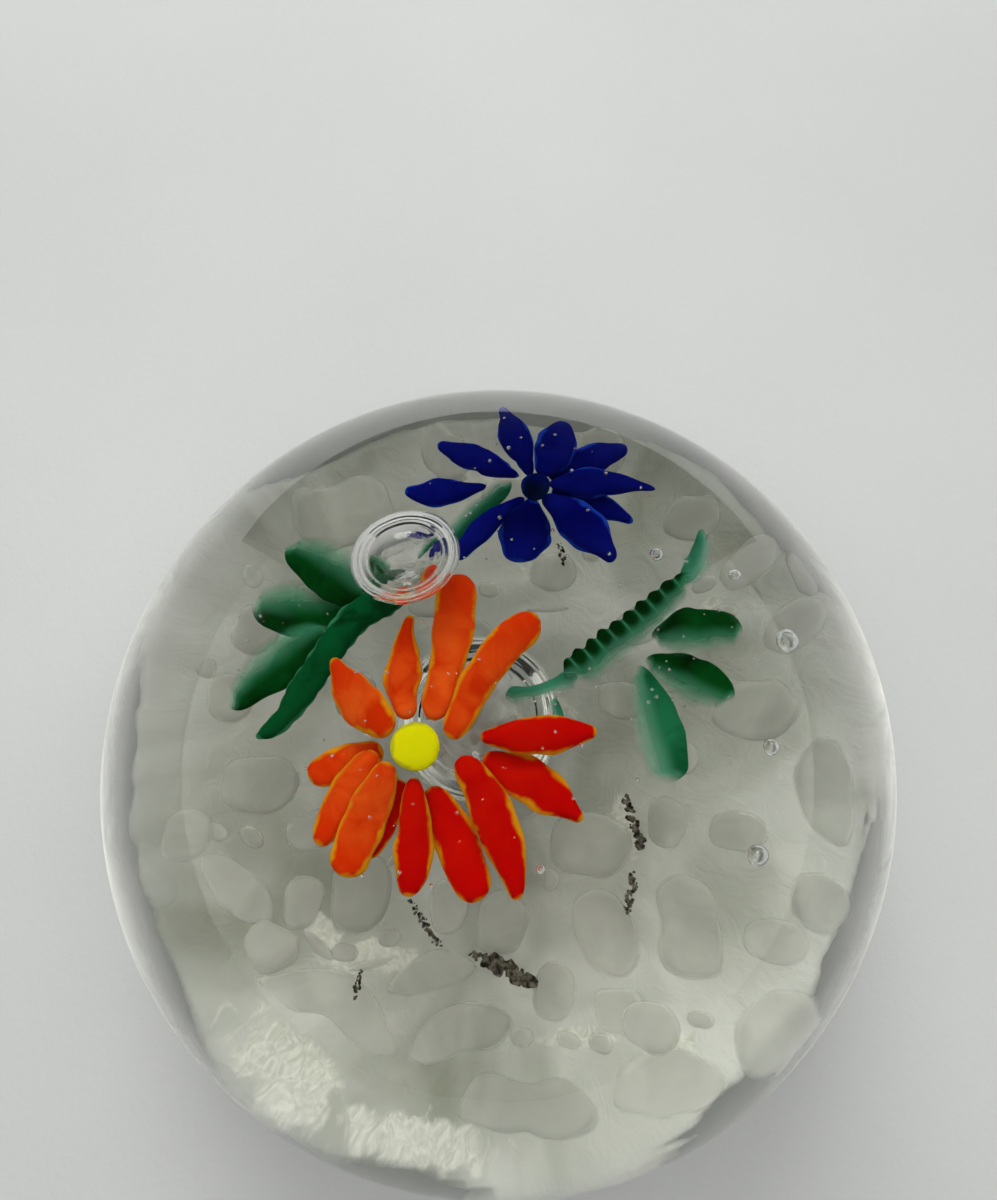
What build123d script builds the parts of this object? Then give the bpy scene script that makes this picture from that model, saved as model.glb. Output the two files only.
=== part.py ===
from build123d import *
import os
from math import cos, hypot, radians, sin, sqrt

# Lampwork paperweight: a clear glass weight with two glass flowers, leaves and
# a ground of white glass chips inside it. Millimetres, +Z up, flat foot at z = 0.

os.makedirs("parts", exist_ok=True)

# The clear body
DOME_RADIUS = 40.0        # half of the widest width, and radius of the domed top
EQUATOR_HEIGHT = 16.0     # height of the widest ring
FOOT_RADIUS = 22.5        # ground flat foot
SEAM_HEIGHT = 4.5         # top of the bottom gather, where the milky layer lies

# Flower and leaf sections
PETAL_THICKNESS = 1.3
PETAL_DROOP = 0.6         # the tip lies this much lower than the root
LEVEL_STEP = 1.6          # height between petals that cross each other

# Shares of the length where a piece's width is given, root first
WIDTH_SHARES = (0.10, 0.35, 0.65, 0.90)
# Shares of the length where a section is drawn, root first
SECTION_SHARES = (0.0, 0.03, 0.09, 0.2, 0.35, 0.5, 0.65, 0.8, 0.91, 0.97, 1.0)
ROUND_END = 0.13          # share of the length over which each end rounds off
END_WIDTH = 0.25          # width of the very end, over the width beside it

ORANGE_HEIGHT = 24.2      # middle of the orange flower's lower petals
BLUE_HEIGHT = 20.8        # middle of the blue flower's lower petals
STEM_HEIGHT = 20.4        # centre line of the two twisted stems
LEAF_HEIGHT = 18.4        # centre line of the upper leaves
LOW_LEAF_HEIGHT = 16.9    # centre line of the leaf under two others

# Root, tip, sideways bow, widths and level of each petal
ORANGE_PETALS = (
    ((-7.7, 1.9), (-12.0, 7.2), 0.4, (2.2, 3.2, 2.9, 1.3), 1),
    ((-6.6, 2.9), (-6.4, 10.4), 0.5, (1.9, 2.9, 2.2, 0.9), 0),
    ((-4.9, 2.8), (-2.9, 13.4), -0.3, (2.2, 2.6, 3.2, 3.0), 0),
    ((-3.2, 1.3), (2.9, 10.2), 1.0, (2.1, 2.5, 2.8, 2.5), 1),
    ((-1.3, 1.5), (7.1, 1.9), 0.0, (1.4, 2.6, 3.0, 1.3), 1),
    ((-1.1, 0.2), (5.9, -4.2), 0.3, (2.0, 3.3, 3.3, 1.2), 0),
    ((-2.8, 0.0), (1.2, -9.6), 0.8, (2.2, 3.0, 2.9, 1.5), 1),
    ((-4.9, -2.0), (-1.4, -9.7), 0.2, (2.1, 3.1, 3.1, 2.4), 0),
    ((-6.1, -1.3), (-6.3, -9.4), 0.3, (1.4, 2.3, 2.9, 1.8), 1),
    ((-7.1, -1.4), (-9.3, -6.8), 0.0, (1.7, 2.4, 2.3, 1.6), 0),
    ((-7.8, -0.2), (-10.8, -8.0), 0.0, (2.0, 2.9, 3.1, 2.8), 1),
    ((-8.8, 0.6), (-12.6, -5.9), -0.2, (2.0, 2.8, 2.6, 1.7), 0),
    ((-8.4, 0.8), (-13.6, -1.2), 0.0, (1.9, 2.6, 2.5, 1.9), -1),
)
BLUE_PETALS = (
    ((1.6, 20.9), (-4.5, 23.3), 0.0, (0.9, 1.9, 2.1, 1.0), 1),
    ((-0.9, 20.2), (-7.0, 19.7), 0.3, (0.8, 1.5, 2.2, 1.0), 0),
    ((2.0, 19.2), (-3.1, 14.6), -0.5, (0.9, 1.3, 1.7, 1.2), 1),
    ((2.6, 19.2), (1.6, 14.5), -0.1, (1.5, 3.4, 4.0, 2.7), 0),
    ((3.4, 19.2), (8.5, 14.6), 0.4, (1.3, 3.1, 3.2, 1.2), 1),
    ((4.0, 19.7), (9.9, 17.3), 0.3, (1.2, 2.3, 1.8, 0.8), 0),
    ((3.8, 20.2), (11.7, 19.8), 0.3, (1.3, 2.5, 1.6, 0.7), 1),
    ((3.7, 20.7), (9.7, 23.0), 0.2, (1.2, 2.3, 2.2, 1.4), 0),
    ((3.1, 21.0), (5.0, 25.4), -0.2, (1.7, 3.0, 3.0, 1.6), 1),
    ((2.4, 21.0), (0.2, 26.4), 0.0, (1.0, 2.2, 2.3, 0.8), 0),
)

# Centre and radius of the button on each flower
ORANGE_BUTTON = ((-6.0, 0.8), 1.75)
BLUE_BUTTON = ((2.8, 20.1), 1.2)
BUTTON_HALF_HEIGHT = 0.65
BUTTON_LIFT = 3.1         # above the middle of the lower petals

# Root, tip, bow, widths and height of each leaf
LEAF_THICKNESS = 1.2
LEFT_LEAVES = (
    ((-9.6, 12.0), (-15.4, 15.4), -0.3, (3.4, 4.6, 4.0, 2.4), LEAF_HEIGHT),
    ((-11.0, 11.4), (-17.8, 11.0), 0.1, (2.8, 4.2, 4.2, 2.8), LOW_LEAF_HEIGHT),
    ((-12.4, 9.8), (-19.2, 3.8), -0.3, (2.4, 3.8, 3.4, 2.0), LEAF_HEIGHT),
)
RIGHT_LEAVES = (
    ((11.2, 8.8), (17.6, 9.0), 0.3, (1.8, 3.5, 3.4, 2.8), LEAF_HEIGHT),
    ((10.8, 7.3), (16.8, 4.3), 0.1, (2.0, 3.4, 3.4, 2.2), LOW_LEAF_HEIGHT),
    ((10.0, 6.8), (12.4, -1.6), 0.2, (2.0, 3.2, 3.6, 3.2), LEAF_HEIGHT),
)

# Twisted stems: the path, its width, how many ribs the twist shows and their depth
LEFT_STEM_PATH = ((-6.6, 12.0), (-10.0, 10.7), (-12.6, 7.6), (-14.7, 4.0), (-17.3, 1.5))
LEFT_STEM_WIDTH = 2.4
LEFT_STEM_RIBS = 12
LEFT_RIB_DEPTH = 0.12
RIGHT_STEM_PATH = ((5.0, 5.9), (10.2, 9.7), (14.1, 13.4))
RIGHT_STEM_WIDTH = 3.2
RIGHT_STEM_RIBS = 10
RIGHT_RIB_DEPTH = 0.30
STEM_THICKNESS = 1.6
SECTIONS_PER_RIB = 4
STEM_END_WIDTH = 0.45     # width of a stem's ends, over its width beside them
STEM_TAPER = 0.75         # share of its section that a stem has lost by its far end

# Plain lengths of green rod: root, tip, bow, widths
BLUE_STEM = ((0.9, 20.4), (-5.0, 14.6), -0.3, (1.3, 1.6, 1.6, 1.4))
RIGHT_TIP = ((13.7, 12.8), (14.9, 16.6), -0.4, (1.6, 2.0, 1.7, 0.8))
RIGHT_LINKS = (
    ((5.9, 6.1), (0.6, 4.6), 0.2, (1.6, 1.2, 1.1, 1.5)),
    ((3.9, 4.5), (4.4, 1.6), 0.2, (0.9, 1.0, 0.9, 0.7)),
)
BLUE_STEM_HEIGHT = 18.9
LINK_HEIGHT = 19.0        # centre line of the tip and the links, just under the ribbed stem

# The milky layer under the chips, and how its outline wanders in and out:
# waves round it, their size and where they start
BED_THICKNESS = 0.7
BED_RADIUS = 24.0
BED_WAVES = ((3, 0.45, 20), (5, 0.30, 70), (8, 0.25, 0))
BED_POINTS = 48

# White chips that lie on the milky layer: centre, length, width, turn, bend, waist
CHIP_BOTTOM = SEAM_HEIGHT + BED_THICKNESS
CHIP_THICKNESS = 1.7

# Share of a chip's thickness, and outline there over the full outline
CHIP_SIDE = ((0.0, 0.80), (0.3, 0.99), (0.7, 0.99), (1.0, 0.80))
OPAL_CHIPS = (
    ((-17.7, -8.3), 6.8, 2.8, -48, 0.0, 0.0),
    ((-9.8, -8.7), 5.8, 4.6, 90, 0.0, 0.0),
    ((-10.9, -15.7), 10.6, 2.9, -31, 0.6, 0.0),
    ((-4.6, -14.2), 6.4, 2.8, 7, 0.3, 0.0),
    ((-2.6, -17.6), 7.6, 3.2, 11, 0.3, 0.0),
    ((0.2, -11.0), 4.8, 4.2, 90, 0.0, 0.0),
    ((1.8, -21.2), 9.0, 3.4, -3, 0.0, 0.2),
    ((10.6, -19.6), 7.4, 3.2, 14, 0.2, 0.0),
    ((7.5, -11.6), 6.2, 4.6, -60, 0.0, 0.0),
    ((13.1, -10.8), 7.0, 5.0, 90, 0.0, 0.2),
    ((17.2, -16.0), 6.6, 3.0, 43, 0.2, 0.0),
    ((22.0, -1.6), 7.6, 3.2, 90, 0.2, 0.0),
    ((-11.1, 17.9), 7.4, 5.0, 23, 0.0, 0.2),
    ((6.7, -5.6), 6.4, 5.0, 0, 0.0, 0.0),
    ((18.2, 3.9), 5.6, 4.6, 0, 0.0, 0.0),
    ((-17.0, -1.3), 5.4, 4.4, 0, 0.0, 0.0),
)

# Chips of one size each: centre, turn and layer, counted up from the milky layer
LAYER_STEP = 1.9
PEBBLE_SIZE = (3.9, 3.1)
PEBBLES = (
    ((-13.65, -9.2), 90, 0), ((-15.4, -12.0), -33, 1), ((3.9, -15.2), 80, 0),
    ((-3.6, -9.9), 90, 0), ((-13.4, -4.6), 20, 0), ((-19.0, 4.8), 90, 0),
    ((13.0, 0.6), 0, 0), ((9.2, 4.9), 0, 0), ((4.1, 14.4), 0, 0),
    ((13.7, 17.3), -10, 0), ((16.8, -4.6), 0, 0), ((1.6, -2.5), 0, 0),
    ((8.2, -16.2), 3, 0), ((18.2, -11.4), 0, 1), ((10.0, -17.0), 5, 1),
    ((7.0, 21.6), -8, 0), ((-17.4, 9.6), 60, 0), ((-4.0, 5.6), 30, 0),
    ((20.4, 9.4), 70, 0), ((0.4, 19.6), 10, 0), ((-10.6, 5.2), 75, 0),
    ((-8.9, -2.0), 15, 0), ((-3.6, -4.6), 60, 0), ((3.0, 2.8), 40, 0),
    ((-5.2, 12.4), 5, 0), ((-3.8, 22.0), -20, 0), ((10.6, 10.4), 35, 0),
    ((17.6, 14.0), 45, 1), ((12.2, -4.0), 80, 1), ((20.8, -8.6), 75, 0),
    ((-21.0, -4.6), 85, 1), ((-13.2, 12.0), 20, 0), ((-1.6, 9.2), 80, 0),
)
CRUMB_SIZE = (1.9, 1.4)
CRUMBS = (
    ((-7.6, -11.9), 0, 1), ((-10.6, -12.7), 0, 0), ((4.6, -18.0), 0, 0),
    ((6.8, -18.1), 0, 1), ((1.6, -17.9), 0, 1), ((13.2, -16.4), 8, 1),
    ((16.4, 10.9), 0, 0), ((-0.7, 13.2), 0, 0), ((-19.3, -4.5), -48, 0),
    ((-17.2, -5.0), -48, 1), ((-20.3, 6.8), 80, 1), ((-17.4, 13.2), 80, 0),
    ((3.8, -8.2), 80, 1), ((7.0, 15.6), 0, 1), ((14.9, 12.9), 20, 0),
)
SLIVER_SIZE = (3.6, 0.9)
SLIVERS = (
    ((-8.8, -13.5), 8, 1), ((-12.4, -12.2), -42, 1), ((3.8, 11.7), 0, 0),
    ((20.6, 12.8), 119, 1), ((-7.0, -6.0), 50, 1), ((12.0, 4.0), 60, 1),
)
SMALL_THICKNESS = 1.2

# Air sealed in the dome: centre, then half length, half width and half height, and turn
AIR_BUBBLES = (
    ((-6.9, 14.6, 27.2), (4.1, 3.5, 2.7), 20),
    ((-1.5, 3.2, 14.5), (6.1, 6.1, 4.2), 0),
    ((11.6, 14.8, 25.0), (0.5, 0.5, 0.5), 0),
    ((17.3, 13.3, 24.0), (0.5, 0.4, 0.4), 0),
    ((21.0, 8.4, 26.0), (0.9, 0.9, 0.9), 0),
    ((19.3, 0.8, 26.0), (0.6, 0.6, 0.6), 0),
    ((17.9, -6.6, 26.0), (0.75, 0.75, 0.75), 0),
    ((2.9, -7.6, 28.0), (0.3, 0.3, 0.3), 0),
)


def save(piece, node):
    """Name one finished piece and write it to its own file."""
    piece.label = node
    export_step(piece, f"parts/{node}.step")


def bowed_path(root, tip, bow, root_height, tip_height):
    """Three points from root to tip, the middle one pushed to the left by the bow."""
    run = (tip[0] - root[0], tip[1] - root[1])
    length = hypot(*run)
    middle_x = (root[0] + tip[0]) / 2 - bow * run[1] / length
    middle_y = (root[1] + tip[1]) / 2 + bow * run[0] / length
    middle_height = (root_height + tip_height) / 2
    start = (root[0], root[1], root_height)
    return (start, (middle_x, middle_y, middle_height), (tip[0], tip[1], tip_height))


def width_at(widths, share):
    """The width at one share of the length, level past the first and last given ones."""
    if share <= WIDTH_SHARES[0]:
        return widths[0]
    for before, after, first, last in zip(WIDTH_SHARES, WIDTH_SHARES[1:], widths, widths[1:]):
        if share <= after:
            return first + (last - first) * (share - before) / (after - before)
    return widths[-1]


def end_rounding(share):
    """1 along the length, falling like a half circle over each end."""
    from_end = min(share, 1.0 - share, ROUND_END) / ROUND_END
    return max(sqrt(1.0 - (1.0 - from_end) ** 2), END_WIDTH)


def drawn_glass(path, stations, straight_sides=False):
    """A soft glass length that follows the path: (share, width, thickness) of each oval section."""
    with BuildLine() as spine:
        Spline(*path)
    with BuildPart() as length:
        for share, width, thickness in stations:
            along = spine.line % share
            across = (-along.Y, along.X, 0)
            with BuildSketch(Plane(origin=spine.line @ share, x_dir=across, z_dir=along)):
                Ellipse(width / 2, thickness / 2)
        loft(ruled=straight_sides)
    return length.part


def flat_length(root, tip, bow, widths, root_height, tip_height, thickness):
    """A petal, leaf or rod with round ends."""
    stations = []
    for share in SECTION_SHARES:
        rounding = end_rounding(share)
        stations.append((share, width_at(widths, share) * rounding, thickness * sqrt(rounding)))
    return drawn_glass(bowed_path(root, tip, bow, root_height, tip_height), stations)


def petal(root, tip, bow, widths, height):
    return flat_length(root, tip, bow, widths, height, height - PETAL_DROOP, PETAL_THICKNESS)


def green_length(root, tip, bow, widths, height):
    return flat_length(root, tip, bow, widths, height, height, LEAF_THICKNESS)


def twisted_stem(flat_path, width, ribs, rib_depth):
    """A rod whose twist shows as a row of ribs, thinning towards its far end."""
    stations = []
    steps = ribs * SECTIONS_PER_RIB
    for step in range(steps + 1):
        share = step / steps
        taper = sqrt(1.0 - STEM_TAPER * share ** 3)
        rib = 1.0 - rib_depth * (1.0 - abs(sin(radians(180 * ribs * share))))
        rounding = max(end_rounding(share), STEM_END_WIDTH)
        stations.append((share, width * taper * rib * rounding, STEM_THICKNESS * rounding))
    path = [(x, y, STEM_HEIGHT) for x, y in flat_path]
    return drawn_glass(path, stations, straight_sides=True)


def stretched_ball(centre, half_sizes, turn=0):
    """A ball stretched to three half sizes, for buttons and for air bubbles."""
    ball = Solid.make_sphere(1.0, angle1=-90, angle2=90, angle3=360)
    stretched = ball.transform_geometry(
        Matrix(
            [
                [half_sizes[0], 0, 0, 0],
                [0, half_sizes[1], 0, 0],
                [0, 0, half_sizes[2], 0],
            ]
        )
    )
    return stretched.moved(Location(centre, (0, 0, turn)))


def button(centre, radius, height):
    """A flattened drop of glass."""
    return stretched_ball((*centre, height), (radius, radius, BUTTON_HALF_HEIGHT))


def chip(centre, length, width, turn, bend, waist, thickness, bottom):
    """A flat rounded chip; the bend curves it like a bean and the waist pinches it."""
    half, side = length / 2, width / 2
    # Shares of the half length and the half width, once round the chip
    outline = (
        (-half, -bend),
        (-0.55 * half, 0.90 * side - 0.5 * bend),
        (0.0, (0.95 - waist) * side + bend),
        (0.60 * half, 0.85 * side),
        (half, 0.10 * side - bend),
        (0.50 * half, -0.90 * side),
        (0.0, -(1.0 - waist) * side + bend),
        (-0.60 * half, -0.80 * side - 0.5 * bend),
    )
    with BuildPart() as pebble:
        for share, fullness in CHIP_SIDE:
            origin = (centre[0], centre[1], bottom + share * thickness)
            with BuildSketch(Plane(origin=origin).rotated((0, 0, turn))):
                with BuildLine():
                    Spline(*[(fullness * x, fullness * y) for x, y in outline], periodic=True)
                make_face()
        loft()
    return pebble.part


def chip_group(size, places):
    """Chips of one size, each a separate solid of the same node."""
    pieces = []
    for centre, turn, layer in places:
        bottom = CHIP_BOTTOM + layer * LAYER_STEP
        pieces.append(chip(centre, *size, turn, 0.0, 0.0, SMALL_THICKNESS, bottom))
    return pieces


inside = []

# The orange flower
for number, (root, tip, bow, widths, level) in enumerate(ORANGE_PETALS, start=1):
    orange_petal = petal(root, tip, bow, widths, ORANGE_HEIGHT + level * LEVEL_STEP)
    save(orange_petal, f"orange_petal_{number:02d}")
    inside.append(orange_petal)

orange_centre = button(*ORANGE_BUTTON, ORANGE_HEIGHT + BUTTON_LIFT)
save(orange_centre, "orange_centre")
inside.append(orange_centre)

# The blue flower
for number, (root, tip, bow, widths, level) in enumerate(BLUE_PETALS, start=1):
    blue_petal = petal(root, tip, bow, widths, BLUE_HEIGHT + level * LEVEL_STEP)
    save(blue_petal, f"blue_petal_{number:02d}")
    inside.append(blue_petal)

blue_centre = button(*BLUE_BUTTON, BLUE_HEIGHT + BUTTON_LIFT)
save(blue_centre, "blue_centre")
inside.append(blue_centre)

# The plain green rods
blue_stem = green_length(*BLUE_STEM, BLUE_STEM_HEIGHT)
save(blue_stem, "blue_stem")
inside.append(blue_stem)

right_tip = green_length(*RIGHT_TIP, LINK_HEIGHT)
save(right_tip, "right_tip")
inside.append(right_tip)

for number, link in enumerate(RIGHT_LINKS, start=1):
    right_link = green_length(*link, LINK_HEIGHT)
    save(right_link, f"right_link_{number:02d}")
    inside.append(right_link)

# The leaves
for number, leaf in enumerate(LEFT_LEAVES, start=1):
    left_leaf = green_length(*leaf)
    save(left_leaf, f"left_leaf_{number:02d}")
    inside.append(left_leaf)

for number, leaf in enumerate(RIGHT_LEAVES, start=1):
    right_leaf = green_length(*leaf)
    save(right_leaf, f"right_leaf_{number:02d}")
    inside.append(right_leaf)

# The twisted stems
left_stem = twisted_stem(LEFT_STEM_PATH, LEFT_STEM_WIDTH, LEFT_STEM_RIBS, LEFT_RIB_DEPTH)
save(left_stem, "left_stem")
inside.append(left_stem)

right_stem = twisted_stem(RIGHT_STEM_PATH, RIGHT_STEM_WIDTH, RIGHT_STEM_RIBS, RIGHT_RIB_DEPTH)
save(right_stem, "right_stem")
inside.append(right_stem)

# The milky layer
with BuildPart() as opal_bed:
    with BuildSketch(Plane.XY.offset(SEAM_HEIGHT)):
        with BuildLine():
            bed_outline = []
            for step in range(BED_POINTS):
                turn = 360 * step / BED_POINTS
                reach = BED_RADIUS
                for count, size, start in BED_WAVES:
                    reach += size * sin(radians(count * turn + start))
                bed_outline.append((reach * cos(radians(turn)), reach * sin(radians(turn))))
            Spline(*bed_outline, periodic=True)
        make_face()
    extrude(amount=BED_THICKNESS)
save(opal_bed.part, "opal_bed")
inside.append(opal_bed.part)

# The white ground
for number, (centre, length, width, turn, bend, waist) in enumerate(OPAL_CHIPS, start=1):
    opal_chip = chip(centre, length, width, turn, bend, waist, CHIP_THICKNESS, CHIP_BOTTOM)
    save(opal_chip, f"opal_chip_{number:02d}")
    inside.append(opal_chip)

for node, size, places in (
    ("opal_pebbles", PEBBLE_SIZE, PEBBLES),
    ("opal_crumbs", CRUMB_SIZE, CRUMBS),
    ("opal_slivers", SLIVER_SIZE, SLIVERS),
):
    group = chip_group(size, places)
    save(Compound(children=group), node)
    inside.extend(group)

# The clear glass, in the two gathers it is made from
LOWER_HALF_AXIS = EQUATOR_HEIGHT / sqrt(1 - (FOOT_RADIUS / DOME_RADIUS) ** 2)
DOME_TOP = EQUATOR_HEIGHT + DOME_RADIUS


def clear_body(bottom, top):
    """The slice of the whole clear shape between two heights."""
    with BuildPart() as body:
        with BuildSketch(Plane.XZ):
            with Locations((0, EQUATOR_HEIGHT)):
                Ellipse(DOME_RADIUS, LOWER_HALF_AXIS)
            with Locations((0, EQUATOR_HEIGHT)):
                Rectangle(
                    DOME_RADIUS,
                    2 * LOWER_HALF_AXIS,
                    align=(Align.MIN, Align.MAX),
                    mode=Mode.INTERSECT,
                )
        with BuildSketch(Plane.XZ):
            with Locations((0, EQUATOR_HEIGHT)):
                Circle(DOME_RADIUS)
            with Locations((0, EQUATOR_HEIGHT)):
                Rectangle(
                    DOME_RADIUS,
                    DOME_RADIUS,
                    align=(Align.MIN, Align.MIN),
                    mode=Mode.INTERSECT,
                )
        revolve(axis=Axis.Z)
        with Locations((0, 0, bottom)):
            Cylinder(
                2 * DOME_RADIUS,
                top - bottom,
                align=(Align.CENTER, Align.CENTER, Align.MIN),
                mode=Mode.INTERSECT,
            )
    return body.part


clear_base = clear_body(0, SEAM_HEIGHT)
save(clear_base, "clear_base")

clear_dome = clear_body(SEAM_HEIGHT, DOME_TOP)
spaces = inside + [stretched_ball(*bubble) for bubble in AIR_BUBBLES]
clear_dome = clear_dome.cut(*spaces)
save(clear_dome, "clear_dome")
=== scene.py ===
import math
import random

import bmesh
import bpy
import numpy as np
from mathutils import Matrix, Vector


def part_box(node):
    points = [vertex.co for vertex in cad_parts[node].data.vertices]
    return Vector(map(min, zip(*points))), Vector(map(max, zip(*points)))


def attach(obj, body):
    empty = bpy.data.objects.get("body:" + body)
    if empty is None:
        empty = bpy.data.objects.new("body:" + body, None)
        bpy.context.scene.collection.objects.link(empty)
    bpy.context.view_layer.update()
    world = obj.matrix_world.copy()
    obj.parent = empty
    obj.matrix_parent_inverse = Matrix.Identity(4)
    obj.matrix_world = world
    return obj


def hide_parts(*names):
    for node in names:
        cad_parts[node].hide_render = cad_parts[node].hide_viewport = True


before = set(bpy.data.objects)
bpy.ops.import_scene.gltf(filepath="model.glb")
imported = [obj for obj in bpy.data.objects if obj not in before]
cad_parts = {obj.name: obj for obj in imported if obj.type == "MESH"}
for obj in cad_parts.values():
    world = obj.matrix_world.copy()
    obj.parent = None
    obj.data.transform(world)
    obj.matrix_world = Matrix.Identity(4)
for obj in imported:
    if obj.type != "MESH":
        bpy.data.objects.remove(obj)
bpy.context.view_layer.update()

# Sizes and places are in millimetres, unless a comment says metres
MM = 0.001
DOME_RADIUS = 40.0
EQUATOR_HEIGHT = 16.0
FOOT_RADIUS = 22.5
LOWER_HALF_AXIS = EQUATOR_HEIGHT / math.sqrt(1 - (FOOT_RADIUS / DOME_RADIUS) ** 2)

scene = bpy.context.scene
scene.view_settings.view_transform = "Standard"
# With the usual blur, hardly any light gets through the dome to the ground
scene.cycles.blur_glossy = 0.0


# ---------------------------------------------------------------- node helpers

def new_material(name):
    material = bpy.data.materials.new(name)
    material.use_nodes = True
    tree = material.node_tree
    return material, tree, tree.nodes["Principled BSDF"]


def sealed_material(name):
    """A material for glass inside glass, which has no shine of its own."""
    material, tree, shader = new_material(name)
    shader.inputs["Specular IOR Level"].default_value = 0.0
    return material, tree, shader


def object_noise(tree, scale, detail, roughness=0.5, distortion=0.0):
    """Noise on the object's own coordinates; the scale is per metre."""
    where = tree.nodes.new("ShaderNodeTexCoord")
    texture = tree.nodes.new("ShaderNodeTexNoise")
    texture.inputs["Scale"].default_value = scale
    texture.inputs["Detail"].default_value = detail
    texture.inputs["Roughness"].default_value = roughness
    texture.inputs["Distortion"].default_value = distortion
    tree.links.new(where.outputs["Object"], texture.inputs["Vector"])
    return texture.outputs["Fac"]


def set_or_link(tree, socket, value):
    """Give a socket a number or a colour, or link another node's output to it."""
    if isinstance(value, bpy.types.NodeSocket):
        tree.links.new(value, socket)
    elif isinstance(value, tuple):
        socket.default_value = (*value, 1.0)
    else:
        socket.default_value = value


def mix_colour(tree, share, first, second):
    node = tree.nodes.new("ShaderNodeMix")
    node.data_type = "RGBA"
    set_or_link(tree, node.inputs["Factor"], share)
    set_or_link(tree, node.inputs[6], first)
    set_or_link(tree, node.inputs[7], second)
    return node.outputs[2]


def math_node(tree, operation, first, second=0.0):
    node = tree.nodes.new("ShaderNodeMath")
    node.operation = operation
    set_or_link(tree, node.inputs[0], first)
    set_or_link(tree, node.inputs[1], second)
    return node.outputs[0]


def map_range(tree, source, low, high, to_low, to_high, smooth=False):
    node = tree.nodes.new("ShaderNodeMapRange")
    if smooth:
        node.interpolation_type = "SMOOTHSTEP"
    node.inputs["From Min"].default_value = low
    node.inputs["From Max"].default_value = high
    node.inputs["To Min"].default_value = to_low
    node.inputs["To Max"].default_value = to_high
    tree.links.new(source, node.inputs["Value"])
    return node.outputs["Result"]


def attribute(tree, name):
    node = tree.nodes.new("ShaderNodeAttribute")
    node.attribute_name = name
    return node.outputs["Fac"]


def x_and_z(tree, coordinates_output):
    """The X and the Z part of a set of coordinates."""
    split = tree.nodes.new("ShaderNodeSeparateXYZ")
    tree.links.new(coordinates_output, split.inputs["Vector"])
    return split.outputs["X"], split.outputs["Z"]


def bump(tree, shader, height, strength, distance):
    """Raise the surface a little; the distance is in metres."""
    node = tree.nodes.new("ShaderNodeBump")
    node.inputs["Strength"].default_value = strength
    node.inputs["Distance"].default_value = distance
    tree.links.new(height, node.inputs["Height"])
    tree.links.new(node.outputs["Normal"], shader.inputs["Normal"])


# ------------------------------------------------------------------- materials

def inner_glass(name, core, deep, tip, edge, edge_start):
    """Coloured glass sealed in clear glass: drifting density and a thinner, lighter edge."""
    material, tree, shader = sealed_material(name)
    drift = object_noise(tree, 315.0, detail=4.0, distortion=0.8)
    density = map_range(tree, drift, 0.38, 0.62, 0.0, 1.0)
    wander = map_range(tree, drift, 0.3, 0.7, -0.22, 0.22)
    rim = math_node(tree, "ADD", attribute(tree, "rim"), wander)
    edge_share = map_range(tree, rim, edge_start, 1.0, 0.0, 1.0, smooth=True)
    tip_share = map_range(tree, attribute(tree, "along"), 0.35, 0.95, 0.0, 0.8, smooth=True)
    body = mix_colour(tree, density, core, deep)
    body = mix_colour(tree, tip_share, body, tip)
    tree.links.new(mix_colour(tree, edge_share, body, edge), shader.inputs["Base Color"])
    tree.links.new(map_range(tree, drift, 0.2, 0.8, 0.25, 0.55), shader.inputs["Roughness"])
    fine = object_noise(tree, 900.0, detail=2.0)
    bump(tree, shader, fine, 0.2, 0.0002)
    return material


def fading_glass(name, core, deep, pale, strength=1.0):
    """Green glass that is dense along one side and thins away to nothing on the other."""
    material, tree, shader = sealed_material(name)
    drift = object_noise(tree, 420.0, detail=4.0, distortion=0.6)
    wander = map_range(tree, drift, 0.3, 0.7, -0.06, 0.06)
    thinning = math_node(tree, "ADD", attribute(tree, "thinning"), wander)
    body = mix_colour(tree, map_range(tree, drift, 0.35, 0.65, 0.0, 1.0), core, deep)
    paling = map_range(tree, thinning, 0.28, 0.88, 0.0, 1.0, smooth=True)
    body = mix_colour(tree, paling, body, pale)
    body = mix_colour(tree, attribute(tree, "groove"), body, pale)
    tree.links.new(mix_colour(tree, attribute(tree, "bead"), body, deep), shader.inputs["Base Color"])
    tree.links.new(map_range(tree, drift, 0.2, 0.8, 0.3, 0.6), shader.inputs["Roughness"])
    alpha = map_range(tree, thinning, 0.38, 1.02, strength, 0.0, smooth=True)
    tree.links.new(alpha, shader.inputs["Alpha"])
    return material


def chip_glass(name, tone, edge, alpha_inside, alpha_edge):
    """Opal glass: milky, a little see-through, softest at its edge, with a lighter tone painted on its
    steep sides against the shade there.
    """
    material, tree, shader = sealed_material(name)
    cloud = object_noise(tree, 170.0, detail=5.0, distortion=0.8)
    wander = map_range(tree, cloud, 0.3, 0.7, -0.16, 0.16)
    flat = math_node(tree, "ADD", attribute(tree, "flat"), wander)
    level = map_range(tree, cloud, 0.36, 0.64, 0.0, 1.0)
    body = mix_colour(tree, level, tone, tuple(0.76 * part for part in tone))
    # Painted light: the steep sides get the lighter edge tone, offsetting the shade that falls on them
    edge_share = map_range(tree, flat, 0.5, 0.95, 1.0, 0.0)
    tree.links.new(mix_colour(tree, edge_share, body, edge), shader.inputs["Base Color"])
    tree.links.new(map_range(tree, cloud, 0.2, 0.8, 0.3, 0.6), shader.inputs["Roughness"])
    tree.links.new(map_range(tree, flat, 0.45, 0.92, alpha_edge, alpha_inside), shader.inputs["Alpha"])
    bump(tree, shader, cloud, 0.3, 0.0004)
    return material


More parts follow.
